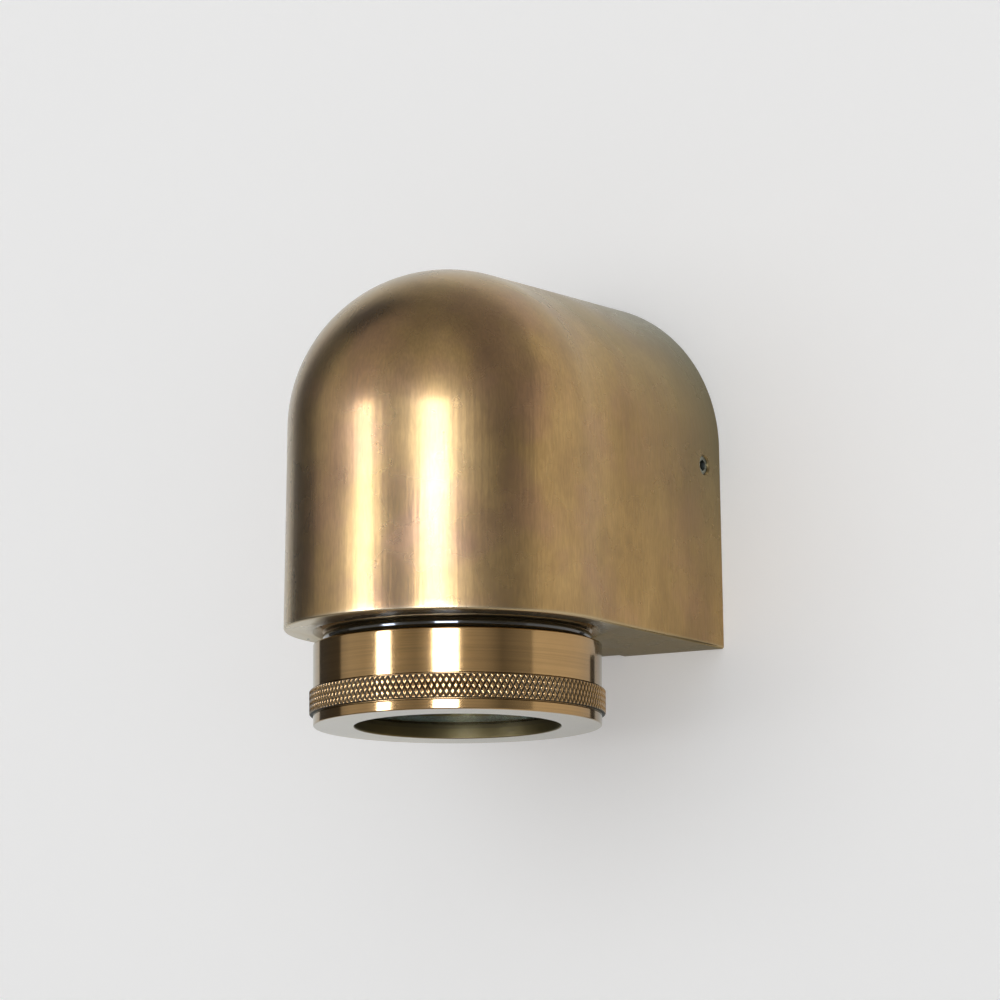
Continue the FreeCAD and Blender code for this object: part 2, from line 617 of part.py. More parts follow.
# --------------------------------------------------------------------------------------- lamp, holder
def make_lamp():
    """Reflector lamp: an outer bowl with a reflector cavity, a front lens and two headed pins."""
    rim = "Dims.lamp_radius"
    inner = rim + " - Dims.lamp_rim_thick"
    step = "Dims.lamp_rim_thick"

    def from_rim(inset):
        return "0" if inset == measure(rim) else "%s - %s" % (rim, inset)
    outside = [(from_rim(inset), str(height)) for inset, height in BOWL]
    cavity = [(from_rim(inset), str(height)) for inset, height in REFLECTOR]
    sub_part(turned("lamp_body", up("Dims.lamp_face"), [(inner, "0"), (rim, "0")] + outside + [
        (from_rim(BOWL_NECK), "Dims.lamp_height"), ("0", "Dims.lamp_height")] + cavity + [
        (from_rim(REFLECTOR_MOUTH), step), (inner, step)]), "lamp_body")
    lens_edge = inner + " - Dims.running_gap"
    sub_part(turned("lamp_lens", up("Dims.lamp_face + Dims.free_play"), [
        ("0", "0"), (lens_edge, "0"), (lens_edge, "Dims.lamp_lens_thick"), ("0", "Dims.lamp_lens_thick")]),
        "lamp_lens")
    pins = []
    for side in ("", "-"):
        tag = "left" if side else "right"
        neck = cylinder("pin_neck_" + tag, "Dims.pin_neck", "Dims.pin_neck_length", side + "Dims.pin_circle",
                        LAMP_Y, up("Dims.lamp_face + Dims.lamp_height"))
        head = cylinder("pin_head_" + tag, "Dims.pin_head", "Dims.pin_head_length", side + "Dims.pin_circle",
                        LAMP_Y, up("Dims.lamp_face + Dims.lamp_height + Dims.pin_neck_length"))
        pins.append(fuse("pin_" + tag, [neck, head]))
    sub_part(group("lamp_pins", pins), "lamp_pins")


def arc_slot(name, half_width, z, height, start):
    """A curved slot on the pin circle, from the locked place to the insertion place."""
    outside = cylinder(name + "_out", "Dims.pin_circle + " + half_width, height, "0", LAMP_Y, z)
    outside.setExpression("Angle", "Dims.lock_angle")
    outside.Placement.Rotation = FreeCAD.Rotation(FreeCAD.Vector(0, 0, 1), start)
    inside = cylinder(name + "_in", "Dims.pin_circle - " + half_width, height, "0", LAMP_Y, z)
    ring = cut(name + "_ring", outside, [inside])
    return [ring] + [slot_end("%s_end_%d" % (name, n), half_width, z, height, start, part)
                     for n, part in enumerate(("0", "Dims.lock_angle"))]


def slot_end(name, radius, z, height, start, turn):
    """A round pocket on the pin circle."""
    angle = "(%s + %s) * 1 deg" % (start, turn)
    return cylinder(name, radius, height, "Dims.pin_circle * cos(%s)" % angle,
                    "%s + Dims.pin_circle * sin(%s)" % (LAMP_Y, angle), z)


def make_holder():
    """Ceramic holder: two keyhole slots below, a chamber for the pins' heads and a flat back for the leads."""
    base = "Dims.holder_base"
    blank = cylinder("holder_blank", "Dims.holder_radius", "Dims.holder_height", "0", LAMP_Y, up(base))
    back = box("holder_back", ("2 * Dims.holder_radius", "Dims.holder_radius", through("Dims.holder_height")),
               "-Dims.holder_radius", LAMP_Y + " + Dims.holder_flat", before(up(base)))
    twist = measure("Dims.lock_angle")
    tools = [back]
    for tag, start in (("right", -twist), ("left", 180 - twist)):
        tools += arc_slot("neck_slot_" + tag, "Dims.neck_slot", before(up(base)), through("Dims.ledge_thick"),
                          start)
        tools += arc_slot("head_slot_" + tag, "Dims.head_slot", up(base + " + Dims.ledge_thick"),
                          "Dims.chamber_height", start)
        tools.append(slot_end("key_hole_" + tag, "Dims.key_hole", before(up(base)), through("Dims.ledge_thick"),
                              start, "0"))
    screws_z = up(base + " + Dims.holder_height - Dims.holder_hole_depth")
    for side in ("", "-"):
        tag = "left" if side else "right"
        tools.append(cylinder("holder_screw_hole_" + tag, "Dims.small_screw + Dims.thread_play",
                              "Dims.holder_hole_depth + Dims.overrun", side + "Dims.holder_screw_side", LAMP_Y,
                              screws_z))
    sub_part(cut("lampholder", blank, tools), "lampholder")
    contact_z = up(base + " + Dims.ledge_thick + Dims.chamber_height - Dims.contact_thick")
    contacts = [box("contact_" + tag, ("Dims.contact_side", "Dims.contact_side", "Dims.contact_thick"),
                    side + "Dims.pin_circle - Dims.contact_side / 2", LAMP_Y + " - Dims.contact_side / 2",
                    contact_z)
                for tag, side in (("right", ""), ("left", "-"))]
    sub_part(group("holder_contacts", contacts), "holder_contacts")


def make_bracket():
    """Steel strip across two posts in the dome, with the lampholder screwed under its middle."""
    low = up("Dims.holder_base + Dims.holder_height")
    strip = box("bracket_strip", ("2 * Dims.bracket_half", "Dims.bracket_width", "Dims.bracket_thick"),
                "-Dims.bracket_half", LAMP_Y + " - Dims.bracket_width / 2", low)
    holes, under, over = [], [], []
    for side in ("", "-"):
        tag = "left" if side else "right"
        for use, place_x in (("post", side + "Dims.post_side"), ("middle", side + "Dims.holder_screw_side")):
            holes.append(cylinder("bracket_hole_%s_%s" % (use, tag), "Dims.small_screw + Dims.free_play",
                                  through("Dims.bracket_thick"), place_x, LAMP_Y, before(low)))
        under.append(screw("bracket_screw_" + tag, "Dims.small_screw", "Dims.bracket_screw_length",
                           "Dims.small_head", "Dims.small_head_height", side + "Dims.post_side", LAMP_Y, low,
                           "Z"))
        over.append(screw("holder_screw_" + tag, "Dims.small_screw", "Dims.holder_screw_length",
                          "Dims.small_head", "Dims.small_head_height", side + "Dims.holder_screw_side", LAMP_Y,
                          low + " + Dims.bracket_thick", "-Z"))
    sub_part(cut("holder_bracket", strip, holes), "holder_bracket")
    sub_part(group("bracket_screws", under), "bracket_screws")
    sub_part(group("holder_screws", over), "holder_screws")


# --------------------------------------------------------------------------------------------- wiring
def make_terminals():
    """Three-pole terminal block on the wall plate: brass inserts along Z, clamp screws from the front."""
    front = PLATE_FRONT + " - Dims.block_depth"
    pole_y = PLATE_FRONT + " - Dims.pole_from_plate"
    base = up("Dims.block_base")
    blank = box("block_blank", ("2 * Dims.block_half", "Dims.block_depth", "Dims.block_height"),
                "-Dims.block_half", front, base)
    tools, inserts, screws = [], [], []
    for pole in (-1, 0, 1):
        x = "%d * Dims.pole_pitch" % pole
        tools.append(cylinder("pole_hole_%d" % (pole + 1), "Dims.insert_radius + Dims.thread_play",
                              through("Dims.block_height"), x, pole_y, before(base)))
        rod = cylinder("insert_rod_%d" % (pole + 1), "Dims.insert_radius", "Dims.block_height", x, pole_y, base)
        bores = [cylinder("insert_bore_%d" % (pole + 1), "Dims.insert_bore", through("Dims.block_height"), x,
                          pole_y, before(base))]
        for level in (0, 1):
            tag = "%d_%d" % (pole + 1, level)
            share = "Dims.clamp_level" if level == 0 else "(1 - Dims.clamp_level)"
            z = base + " + Dims.block_height * " + share
            tools.append(cylinder("screw_well_" + tag, "Dims.insert_radius - Dims.well_step",
                                  "Dims.block_depth - Dims.pole_from_plate + Dims.overrun", x, before(front), z,
                                  "Y"))
            bores.append(cylinder("insert_tap_" + tag, "Dims.clamp_screw + Dims.thread_play",
                                  "Dims.clamp_tap", x, pole_y + " - Dims.clamp_tap", z, "Y"))
            length = "Dims.block_depth - Dims.pole_from_plate - Dims.clamp_sunk - Dims.clamp_tip"
            screws.append(cylinder("clamp_" + tag, "Dims.clamp_screw", length, x, front + " + Dims.clamp_sunk",
                                   z, "Y"))
        inserts.append(cut("insert_%d" % (pole + 1), rod, bores))
    fixing_z = base + " + Dims.block_height / 2"
    tools.append(cylinder("block_fixing_hole", "Dims.small_screw + Dims.free_play", through("Dims.block_depth"),
                          "Dims.pole_pitch / 2", before(front), fixing_z, "Y"))
    tools.append(cylinder("block_fixing_well", "Dims.small_head + Dims.free_play",
                          "Dims.block_screw_sunk + Dims.overrun", "Dims.pole_pitch / 2", before(front),
                          fixing_z, "Y"))
    sub_part(cut("terminal_block", blank, tools), "terminal_block")
    sub_part(group("terminal_inserts", inserts), "terminal_inserts")
    sub_part(group("terminal_screws", screws), "terminal_screws")
    fixing = screw("block_fixing", "Dims.small_screw",
                   "Dims.block_depth - Dims.block_screw_sunk + Dims.plate_thick", "Dims.small_head",
                   "Dims.small_head_height", "Dims.pole_pitch / 2", front + " + Dims.block_screw_sunk",
                   fixing_z, "Y")
    sub_part(fixing, "block_screw")


def make_earth_point():
    """Ring terminal with its barrel upwards, held to the plate by a brass screw."""
    z = up("Dims.earth_height")
    tag_y = PLATE_FRONT + " - Dims.tag_thick"
    barrel_y = PLATE_FRONT + " - Dims.barrel_axis"
    ring = cylinder("tag_ring", "Dims.tag_radius", "Dims.tag_thick", "Dims.earth_side", tag_y, z, "Y")
    neck = box("tag_neck", ("2 * Dims.tag_neck_half", "Dims.tag_thick", "Dims.barrel_base + Dims.overrun"),
               "Dims.earth_side - Dims.tag_neck_half", tag_y, z)
    barrel = cylinder("tag_barrel", "Dims.barrel_radius", "Dims.barrel_length", "Dims.earth_side", barrel_y,
                      z + " + Dims.barrel_base")
    hole = cylinder("tag_hole", "Dims.grub_radius + Dims.free_play", through("Dims.tag_thick"),
                    "Dims.earth_side", before(tag_y), z, "Y")
    bore = cylinder("tag_bore", "Dims.lead_radius + Dims.free_play", "Dims.barrel_length", "Dims.earth_side",
                    barrel_y, z + " + Dims.barrel_base + Dims.barrel_solid")
    sub_part(cut("earth_terminal", fuse("tag_blank", [ring, neck, barrel]), [hole, bore]), "earth_terminal")
    sub_part(screw("earth_fixing", "Dims.grub_radius", "Dims.tag_thick + Dims.plate_thick", "Dims.earth_head",
                   "Dims.earth_head_height", "Dims.earth_side", tag_y, z, "Y"), "earth_screw")


def make_leads():
    """Sleeved leads, from a terminal insert to the holder's back or to the earth tag."""
    radius, end, drop, low, spread, run, pitch, pin, tag_x = (measure("Dims." + alias) for alias in (
        "lead_radius", "lead_end", "lead_drop", "lead_low", "lead_spread", "lead_run", "pole_pitch",
        "pin_circle", "earth_side"))
    pole_y = measure(PLATE_FRONT + " - Dims.pole_from_plate")
    tag_y = measure(PLATE_FRONT + " - Dims.barrel_axis")
    flat_y = measure(LAMP_Y + " + Dims.holder_flat")
    block_z = measure(up("Dims.block_base"))
    routes = {}
    for name, side in (("live_lead", 1), ("neutral_lead", -1)):
        routes[name] = [
            (side * pitch, pole_y, block_z + end), (side * pitch, pole_y, block_z - drop),
            (side * (pin + spread), (pole_y + flat_y) / 2, block_z - drop),
            (side * pin, flat_y + run, block_z - low), (side * pin, flat_y, block_z - low)]
    first, middle, last = (block_z - measure("Dims.earth_" + bend) for bend in ("drop", "cross", "turn"))
    routes["earth_lead"] = [
        (0, pole_y, block_z + end), (0, pole_y, first),
        (tag_x / 2, pole_y + measure("Dims.earth_slack"), middle), (tag_x, tag_y, last),
        (tag_x, tag_y, measure(up("Dims.earth_height + Dims.earth_lead_end")))]
    for name, route in routes.items():
        feature = doc.addObject("Part::Feature", name)
        feature.Shape = pipe(route, radius)
        feature.Placement = FreeCAD.Placement()
        sub_part(feature, name)


make_housing()
make_grub_screw("right", "X")
make_grub_screw("left", "-X")
make_wall_plate()
make_grommet()
make_collar()
make_collar_gasket()
make_o_ring()
make_bezel()
make_glass()
make_lamp()
make_holder()
make_bracket()
make_terminals()
make_earth_point()
make_leads()
doc.recompute()

for thing in doc.Objects:
    if "Invalid" in thing.State or "Error" in thing.State:
        raise RuntimeError("%s failed: %s" % (thing.Name, thing.State))
for part in bodies:
    if part.Shape.isNull() or not part.Shape.isValid() or not part.Shape.Solids:
        raise RuntimeError("%s has no sound shape" % part.Label)

os.makedirs("parts", exist_ok=True)
for part in bodies:
    part.Shape.exportStep("parts/%s.step" % part.Label)
    size = part.Shape.BoundBox
    print("%-18s %9.1f mm3  %d solid(s)  x %.2f..%.2f  y %.2f..%.2f  z %.2f..%.2f" % (
        part.Label, part.Shape.Volume, len(part.Shape.Solids),
        size.XMin, size.XMax, size.YMin, size.YMax, size.ZMin, size.ZMax))
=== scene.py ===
import json
import math

import bmesh
import bpy
from mathutils import Matrix, Vector


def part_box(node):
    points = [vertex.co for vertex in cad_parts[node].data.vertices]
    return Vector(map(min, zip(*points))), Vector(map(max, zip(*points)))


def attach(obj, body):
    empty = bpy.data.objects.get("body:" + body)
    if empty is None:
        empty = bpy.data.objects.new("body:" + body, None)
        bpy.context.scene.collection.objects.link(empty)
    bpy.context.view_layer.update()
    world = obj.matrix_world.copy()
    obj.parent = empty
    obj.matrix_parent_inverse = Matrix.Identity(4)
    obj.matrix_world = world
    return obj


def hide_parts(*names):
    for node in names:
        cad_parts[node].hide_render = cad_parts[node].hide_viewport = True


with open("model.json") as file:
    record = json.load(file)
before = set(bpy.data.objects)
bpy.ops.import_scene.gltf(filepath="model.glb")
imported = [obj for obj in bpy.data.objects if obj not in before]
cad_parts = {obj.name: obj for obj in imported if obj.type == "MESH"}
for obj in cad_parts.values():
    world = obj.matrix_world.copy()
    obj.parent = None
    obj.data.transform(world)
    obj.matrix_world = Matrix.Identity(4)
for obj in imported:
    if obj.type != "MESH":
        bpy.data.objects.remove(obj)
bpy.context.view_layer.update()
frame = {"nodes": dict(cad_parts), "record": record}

scene = bpy.context.scene
MM = 0.001

# ------------------------------------------------------------------------------------ sizes
hood_low, hood_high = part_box("housing")
bezel_low, bezel_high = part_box("bezel")
grub_low, grub_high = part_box("set_screw_right")
ring_low, ring_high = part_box("o_ring")

FLOOR = hood_low.z                                   # hood's lower edge
HALF = hood_high.x                                   # half the hood's width there
AXIS_Y = hood_low.y + HALF                           # axis of the round front
DOME = 35.6 * MM                                     # the dome's radius
DOME_UP = hood_high.z - FLOOR - DOME                 # lower edge to the dome's centre
WALL = 2.5 * MM                                      # the casting's thickness
FLOOR_THICK = 3.0 * MM
EDGE = 0.55 * MM                                     # rounding of the hood's lower edge
LAMP_Y = (bezel_low.y + bezel_high.y) / 2            # axis of collar, bezel and lamp
MOUTH = 32.0 * MM                                    # bevel's outer edge round the hole in the floor
MOUTH_HOLE = 30.1 * MM
DRAIN_HALF, DRAIN_DEEP = 11.0 * MM, 2.5 * MM
GRUB_Y = (grub_low.y + grub_high.y) / 2
GRUB_Z = (grub_low.z + grub_high.z) / 2
GRUB_HOLE = 2.02 * MM                                # radii from here to OPENING
GRIP = bezel_high.x                                  # over the knurl
BARREL = 32.0 * MM                                   # of the bezel above and below the knurl
NECK = BARREL - 0.3 * MM                             # at the bottom of the two grooves
BORE = 27.05 * MM
OPENING = 22.85 * MM
LIP_THICK = 3.2 * MM
BEZEL_TOP, BEZEL_BOTTOM = bezel_high.z, bezel_low.z
GRIP_TOP, GRIP_BOTTOM = FLOOR - 13.15 * MM, FLOOR - 18.4 * MM


# ---------------------------------------------------------------------------- mesh helpers
def new_object(name, bm, body, stands_for, sharp_angle=35.0):
    """A piece from a bmesh: smooth faces, sharp edges above an angle, riding on a body."""
    bmesh.ops.recalc_face_normals(bm, faces=bm.faces)
    for face in bm.faces:
        face.smooth = True
    limit = math.radians(sharp_angle)
    for edge in bm.edges:
        edge.smooth = len(edge.link_faces) == 2 and edge.calc_face_angle(0.0) < limit
    mesh = bpy.data.meshes.new(name)
    bm.to_mesh(mesh)
    bm.free()
    piece = bpy.data.objects.new(name, mesh)
    scene.collection.objects.link(piece)
    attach(piece, body)
    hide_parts(*stands_for)
    return piece


def temporary(name, bm):
    """An object that is only an input to a cut."""
    bmesh.ops.recalc_face_normals(bm, faces=bm.faces)
    mesh = bpy.data.meshes.new(name)
    bm.to_mesh(mesh)
    bm.free()
    thing = bpy.data.objects.new(name, mesh)
    scene.collection.objects.link(thing)
    return thing


def cut(base, tool):
    """base less tool, as a new temporary object. Both inputs are removed."""
    modifier = base.modifiers.new("cut", "BOOLEAN")
    modifier.operation = "DIFFERENCE"
    modifier.solver = "EXACT"
    modifier.object = tool
    depsgraph = bpy.context.evaluated_depsgraph_get()
    mesh = bpy.data.meshes.new_from_object(base.evaluated_get(depsgraph))
    result = bpy.data.objects.new(base.name, mesh)
    scene.collection.objects.link(result)
    for old in (base, tool):
        bpy.data.objects.remove(old)
    return result


def lathe(outline, centre, segments, closed=True):
    """A solid turned about a vertical axis. outline is a list of (radius, height)."""
    bm = bmesh.new()
    rows = []
    for radius, height in outline:
        if radius == 0.0:
            rows.append([bm.verts.new((centre[0], centre[1], height))])
            continue
        row = []
        for k in range(segments):
            angle = 2 * math.pi * k / segments
            x = centre[0] + radius * math.cos(angle)
            y = centre[1] + radius * math.sin(angle)
            row.append(bm.verts.new((x, y, height)))
        rows.append(row)
    count = len(rows)
    for i in range(count if closed else count - 1):
        join_rows(bm, rows[i], rows[(i + 1) % count], segments)
    return bm


def join_rows(bm, first, second, segments):
    """Faces between two rings of a turned piece; one of them may be a single point on the axis."""
    for k in range(segments):
        after = (k + 1) % segments
        if len(first) == 1:
            bm.faces.new((first[0], second[k], second[after]))
        elif len(second) == 1:
            bm.faces.new((first[k], second[0], first[after]))
        else:
            bm.faces.new((first[k], second[k], second[after], first[after]))


def rounded(points, radii):
    """An outline with its corners rounded: points are (radius, height), radii the rounding of each."""
    steps = 4
    result = []
    count = len(points)
    for i, (point, radius) in enumerate(zip(points, radii)):
        here = Vector(point)
        if radius == 0:
            result.append(tuple(here))
            continue
        before = (Vector(points[i - 1]) - here).normalized()
        after = (Vector(points[(i + 1) % count]) - here).normalized()
        half = before.angle(after) / 2
        reach = radius / math.tan(half)
        centre = here + (before + after).normalized() * (radius / math.sin(half))
        start = here + before * reach - centre
        end = here + after * reach - centre
        sweep = math.atan2(start.x * end.y - start.y * end.x, start.dot(end))
        for k in range(steps + 1):
            turn = sweep * k / steps
            result.append((centre.x + start.x * math.cos(turn) - start.y * math.sin(turn),
                           centre.y + start.x * math.sin(turn) + start.y * math.cos(turn)))
    return result


# ------------------------------------------------------------------------------------ hood
def arch_profile(half, radius, rise, edge, low):
    """Half of the hood's arch from its lower edge to the top, as (offset, height) pairs."""
    lean = math.acos(radius / math.hypot(half, rise)) - math.atan2(rise, half)
    edge_steps, side_steps, dome_steps = 6, 26, 56
    points = []
    if edge > 0:
        for k in range(edge_steps):
            angle = math.pi / 2 * k / edge_steps
            points.append((half - edge + edge * math.sin(angle), low + edge - edge * math.cos(angle)))
    start = Vector((half, low + edge))
    touch = Vector((radius * math.cos(lean), low + rise + radius * math.sin(lean)))
    for k in range(side_steps):
        points.append(tuple(start.lerp(touch, k / side_steps)))
    for k in range(dome_steps):
        angle = lean + (math.pi / 2 - lean) * k / dome_steps
        points.append((radius * math.cos(angle), low + rise + radius * math.sin(angle)))
    points.append((0.0, low + rise + radius))
    return points


def arch_block(half, radius, rise, edge, low, back):
    """A solid arch that runs from its round front to y = back."""
    profile = arch_profile(half, radius, rise, edge, low)
    deep_steps, turn_steps = 30, 72
    stations = [("right", back + (AXIS_Y - back) * k / deep_steps) for k in range(deep_steps)]
    stations += [("turn", math.pi / 2 - math.pi * k / turn_steps) for k in range(turn_steps + 1)]
    stations += [("left", AXIS_Y + (back - AXIS_Y) * (k + 1) / deep_steps) for k in range(deep_steps)]
    bm = bmesh.new()
    columns = []
    for kind, value in stations:
        column = []
        for offset, height in profile:
            if kind == "right":
                place = (offset, value, height)
            elif kind == "left":
                place = (-offset, value, height)
            else:
                place = (offset * math.sin(value), AXIS_Y - offset * math.cos(value), height)
            column.append(bm.verts.new(place))
        columns.append(column)
    for first, second in zip(columns, columns[1:]):
        for k in range(len(profile) - 1):
            bm.faces.new((first[k], second[k], second[k + 1], first[k + 1]))
    bm.faces.new([column[0] for column in columns])
    bm.faces.new(columns[0] + columns[-1][::-1])
    bmesh.ops.remove_doubles(bm, verts=bm.verts, dist=1e-7)
    return bm


def block(low, high):
    """A box between two corners."""
    bm = bmesh.new()
    bmesh.ops.create_cube(bm, size=1.0)
    size = Vector(high) - Vector(low)
    middle = (Vector(high) + Vector(low)) / 2
    bm.transform(Matrix.Translation(middle) @ Matrix.Diagonal((*size, 1.0)))
    return bm


def side_hole(side):
    """Cutter for a grub screw's hole: a straight hole with a small countersink at the surface."""
    outside = HALF - (HALF - DOME) * (GRUB_Z - FLOOR) / DOME_UP
    deep = 6.6 * MM                                  # from the surface, right through the wall
    sink, flare = 0.4 * MM, 0.3 * MM                 # the countersink's depth and widening
    past = 1.5 * MM                                  # the cutter stands out by this much, at 45 degrees
    outline = [(0.0, 0.0), (GRUB_HOLE, 0.0), (GRUB_HOLE, deep - sink), (GRUB_HOLE + flare, deep),
               (GRUB_HOLE + flare + past, deep + past), (0.0, deep + past)]
    bm = lathe(outline, (0, 0), 40, closed=False)
    turn = Matrix.Rotation(math.pi / 2 * side, 4, "Y")
    shift = Matrix.Translation((side * (outside - deep), GRUB_Y, GRUB_Z))
    bm.transform(shift @ turn)
    return temporary("grub_cut", bm)


def mouth_hole():
    """Cutter for the lamp's hole in the floor: a bevel with both its edges broken, then a straight bore."""
    start, end = -1.0 * MM, 5.0 * MM                 # below the hood, and past the floor's thickness
    bevel = [(MOUTH + 0.22 * MM, -0.04 * MM), (MOUTH - 0.02 * MM, 0.10 * MM), (MOUTH - 0.20 * MM, 0.32 * MM),
             (MOUTH_HOLE + 0.20 * MM, 1.50 * MM), (MOUTH_HOLE, 2.00 * MM)]
    outline = [(0.0, start), (MOUTH + 0.90 * MM, start)] + bevel + [(MOUTH_HOLE, end), (0.0, end)]
    outline = [(radius, FLOOR + height) for radius, height in outline]
    return temporary("mouth", lathe(outline, (0, LAMP_Y), 256, closed=False))


def drain_notch():
    """Cutter for the notch in the floor at the wall."""
    past, above = 1.0 * MM, 0.5 * MM
    low = (-DRAIN_HALF, -DRAIN_DEEP, FLOOR - past)
    high = (DRAIN_HALF, past, FLOOR + FLOOR_THICK + above)
    return temporary("notch", block(low, high))


def make_hood():
    """The casting's shell: flat floor with the bevelled mouth and drain notch, and the grub screws' holes.

    The bosses and posts inside are left out, because nothing shows them.
    """
    hood = temporary("hood", arch_block(HALF, DOME, DOME_UP, EDGE, FLOOR, 0.0))
    past = WALL                                      # the hollow runs out through the open back
    inside = arch_block(HALF - WALL, DOME - WALL, DOME_UP, 0.0, FLOOR, past)
    bmesh.ops.bisect_plane(inside, geom=inside.verts[:] + inside.edges[:] + inside.faces[:],
                           plane_co=(0, 0, FLOOR + FLOOR_THICK), plane_no=(0, 0, -1), clear_outer=True)
    open_edges = [edge for edge in inside.edges if len(edge.link_faces) == 1]
    bmesh.ops.edgeloop_fill(inside, edges=open_edges)
    hood = cut(hood, temporary("inside", inside))
    hood = cut(hood, mouth_hole())
    hood = cut(hood, drain_notch())
    for side in (1, -1):
        hood = cut(hood, side_hole(side))
    bm = bmesh.new()
    bm.from_mesh(hood.data)
    bpy.data.objects.remove(hood)
    return new_object("hood_shell", bm, "hood", ["housing"])


# ----------------------------------------------------------------------------------- bezel
KNURLS = 152                                         # diamonds round the grip band
KNURL_DEEP = 0.38 * MM
KNURL_TALL = 2.53 * MM                               # a diamond's height
KNURL_SLOPE = 0.44                                   # share of a half diamond taken by its sloping side


def saw(value):
    """0 in the middle of a groove, 1 halfway between two grooves."""
    return 1 - abs(2 * (value - math.floor(value)) - 1)


def knurl_drop(turn, height):
    """How far the surface lies below the grip's full radius. turn counts diamonds, height is up the band."""
    lift = (height - (GRIP_TOP - GRIP_BOTTOM) / 2) / KNURL_TALL
    ridge = min(saw(turn + lift), saw(turn - lift))
    return KNURL_DEEP * (1 - min(1.0, ridge / KNURL_SLOPE))


def make_bezel():
    """Turned ring with fine edge breaks and two grooves, and a true diamond knurl on its grip band."""
    groove = 0.32 * MM
    edge = 0.3 * MM
    seat = BEZEL_BOTTOM + LIP_THICK
    grip_edge = 0.18 * MM
    hold = 0.12 * MM                                 # rings beside each rounding keep the long faces straight
    points = [(OPENING, seat), (OPENING, BEZEL_BOTTOM + edge + hold), (OPENING, BEZEL_BOTTOM),
              (OPENING + edge + hold, BEZEL_BOTTOM), (BARREL - edge - hold, BEZEL_BOTTOM),
              (BARREL, BEZEL_BOTTOM), (BARREL, BEZEL_BOTTOM + edge + hold),
              (BARREL, GRIP_BOTTOM - groove - 2 * hold), (BARREL, GRIP_BOTTOM - groove),
              (NECK, GRIP_BOTTOM - groove), (NECK, GRIP_BOTTOM)]
    radii = [0.05 * MM, 0, edge, 0, 0, edge, 0, 0, 0.12 * MM, 0.1 * MM, 0.1 * MM]
    lower = rounded([(BORE, seat)] + points + [(GRIP - grip_edge, GRIP_BOTTOM)], [0] + radii + [0])
    upper = rounded([(GRIP - grip_edge, GRIP_TOP), (NECK, GRIP_TOP), (NECK, GRIP_TOP + groove),
                     (BARREL, GRIP_TOP + groove), (BARREL, GRIP_TOP + groove + 2 * hold),
                     (BARREL, BEZEL_TOP - edge - hold), (BARREL, BEZEL_TOP),
                     (BARREL - edge - hold, BEZEL_TOP), (BORE, BEZEL_TOP)],
                    [0, 0.1 * MM, 0.1 * MM, 0.12 * MM, 0, 0, edge, 0, 0.1 * MM])
    per_diamond = 10
    segments = KNURLS * per_diamond
    band_rows = 40
    bm = bmesh.new()

    def ring(radius, height):
        return [bm.verts.new((radius * math.cos(2 * math.pi * k / segments),
                              LAMP_Y + radius * math.sin(2 * math.pi * k / segments), height))
                for k in range(segments)]

    rows = [ring(radius, height) for radius, height in lower]
    band = GRIP_TOP - GRIP_BOTTOM
    for row in range(band_rows + 1):
        height = band * row / band_rows
        bevel = max(0.0, grip_edge - min(height, band - height))
        verts = []
        for k in range(segments):
            radius = GRIP - max(knurl_drop(k / per_diamond, height), bevel)
            angle = 2 * math.pi * k / segments
            verts.append(bm.verts.new((radius * math.cos(angle), LAMP_Y + radius * math.sin(angle),
                                       GRIP_BOTTOM + height)))
        rows.append(verts)
    rows += [ring(radius, height) for radius, height in upper]
    for first, second in zip(rows, rows[1:] + rows[:1]):
        join_rows(bm, first, second, segments)
    bmesh.ops.remove_doubles(bm, verts=bm.verts, dist=1e-8)
    return new_object("bezel_ring", bm, "bezel", ["bezel"], sharp_angle=60.0)


def make_o_ring():
    """Round-section ring, seated between hood and bezel."""
    section = (ring_high.z - ring_low.z) / 2
    middle = (ring_high.z + ring_low.z) / 2
    circle = (ring_high.x - ring_low.x) / 2 - section
    steps = 28
    turns = [2 * math.pi * k / steps for k in range(steps)]
    outline = [(circle + section * math.cos(turn), middle + section * math.sin(turn)) for turn in turns]
    return new_object("seal_ring", lathe(outline, (0, LAMP_Y), 256), "hood", ["o_ring"])


# ------------------------------------------------------------------------------- materials
def material(name):
    """A new node material, its tree and its Principled shader."""
    mat = bpy.data.materials.new(name)
    mat.use_nodes = True
    tree = mat.node_tree
    return mat, tree, tree.nodes["Principled BSDF"]


def add(tree, kind, **values):
    node = tree.nodes.new(kind)
    for key, value in values.items():
        setattr(node, key, value)
    return node


def noise(tree, coordinates, scale, detail=6.0, roughness=0.55, stretch=(1, 1, 1)):
    mapping = add(tree, "ShaderNodeMapping")
    mapping.inputs["Scale"].default_value = stretch
    tree.links.new(coordinates, mapping.inputs["Vector"])
    node = add(tree, "ShaderNodeTexNoise")
    node.inputs["Scale"].default_value = scale
    node.inputs["Detail"].default_value = detail
    node.inputs["Roughness"].default_value = roughness
    tree.links.new(mapping.outputs["Vector"], node.inputs["Vector"])
    return node.outputs["Fac"]


def ramp(tree, value, stops):
    node = add(tree, "ShaderNodeValToRGB")
    elements = node.color_ramp.elements
    while len(elements) < len(stops):
        elements.new(0.5)
    for element, (position, colour) in zip(elements, stops):
        element.position = position
        element.color = (*colour, 1.0)
    tree.links.new(value, node.inputs["Fac"])
    return node.outputs["Color"]


def grey(value):
    return (value, value, value)


def mix_colour(tree, factor, first, second, mode="MIX"):
    node = add(tree, "ShaderNodeMix", data_type="RGBA", blend_type=mode)
    for socket, value in (("Factor", factor), ("A", first), ("B", second)):
        target = [s for s in node.inputs if s.name == socket and s.enabled][0]
        if isinstance(value, (int, float)):
            target.default_value = value
        elif isinstance(value, tuple):
            target.default_value = (*value, 1.0)
        else:
            tree.links.new(value, target)
    return [s for s in node.outputs if s.enabled][0]


